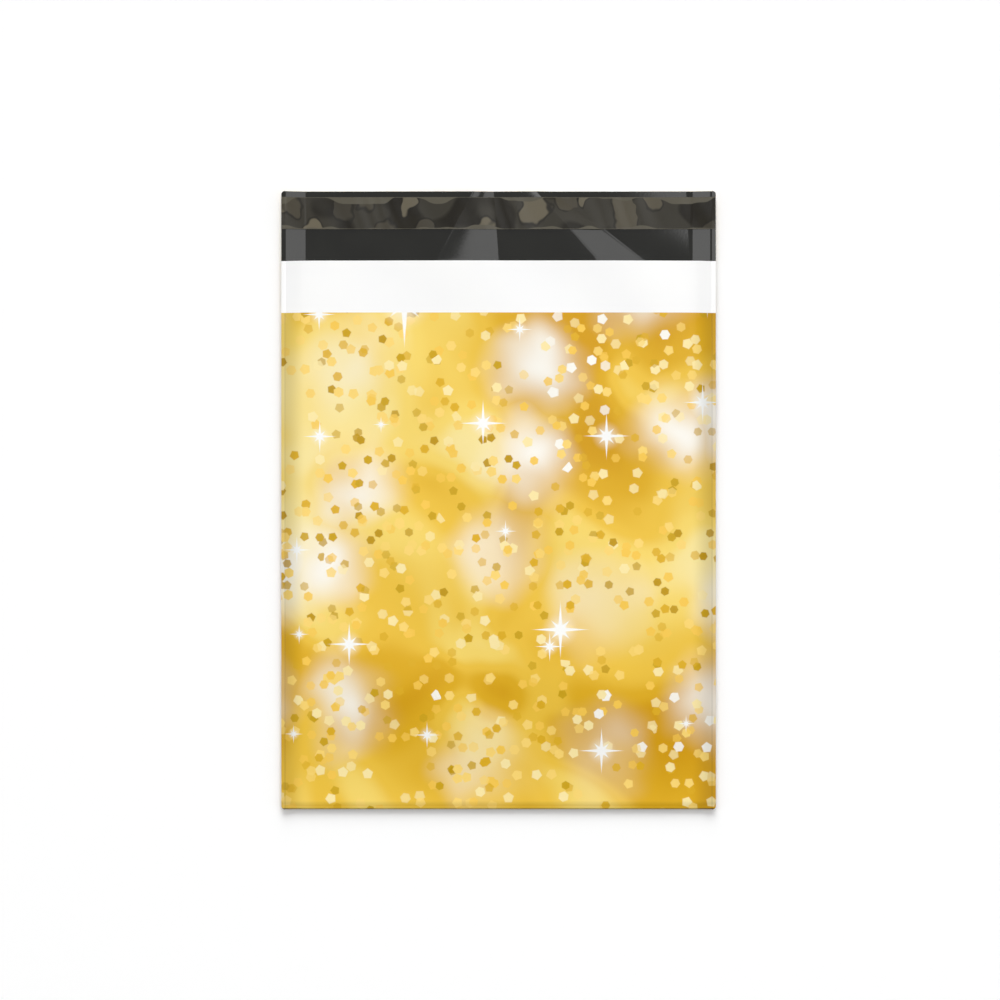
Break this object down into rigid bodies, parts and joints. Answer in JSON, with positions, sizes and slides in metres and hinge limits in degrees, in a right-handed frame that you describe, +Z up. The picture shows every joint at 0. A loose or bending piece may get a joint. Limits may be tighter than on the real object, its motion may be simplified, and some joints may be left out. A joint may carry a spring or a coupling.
{
  "type": "poly mailer bag",
  "caption": "Flat self-seal mailing bag of thin film, welded up both sides, with a gold print, a bare band at the mouth and a black-lined flap with its adhesive under a release liner.",
  "frame": {"origin": "under the middle of the bag, on the surface that it lies on", "axes": "+X across the bag, +Y from the bottom fold towards the flap, +Z up from the table through the back panel and the front panel"},
  "size_m": [0.254, 0.3614, 0.0104],
  "materials": {
    "printed_film": "satin polyethylene film: gold print outside, one bare white band at the mouth, black inside",
    "adhesive": "soft hot-melt adhesive",
    "liner": "glossy clear release tape, crinkled, over black film"
  },
  "bodies": {
    "root": {"bag_film": "printed_film", "adhesive_strip": "adhesive", "release_liner": "liner"}
  },
  "joints": []
}
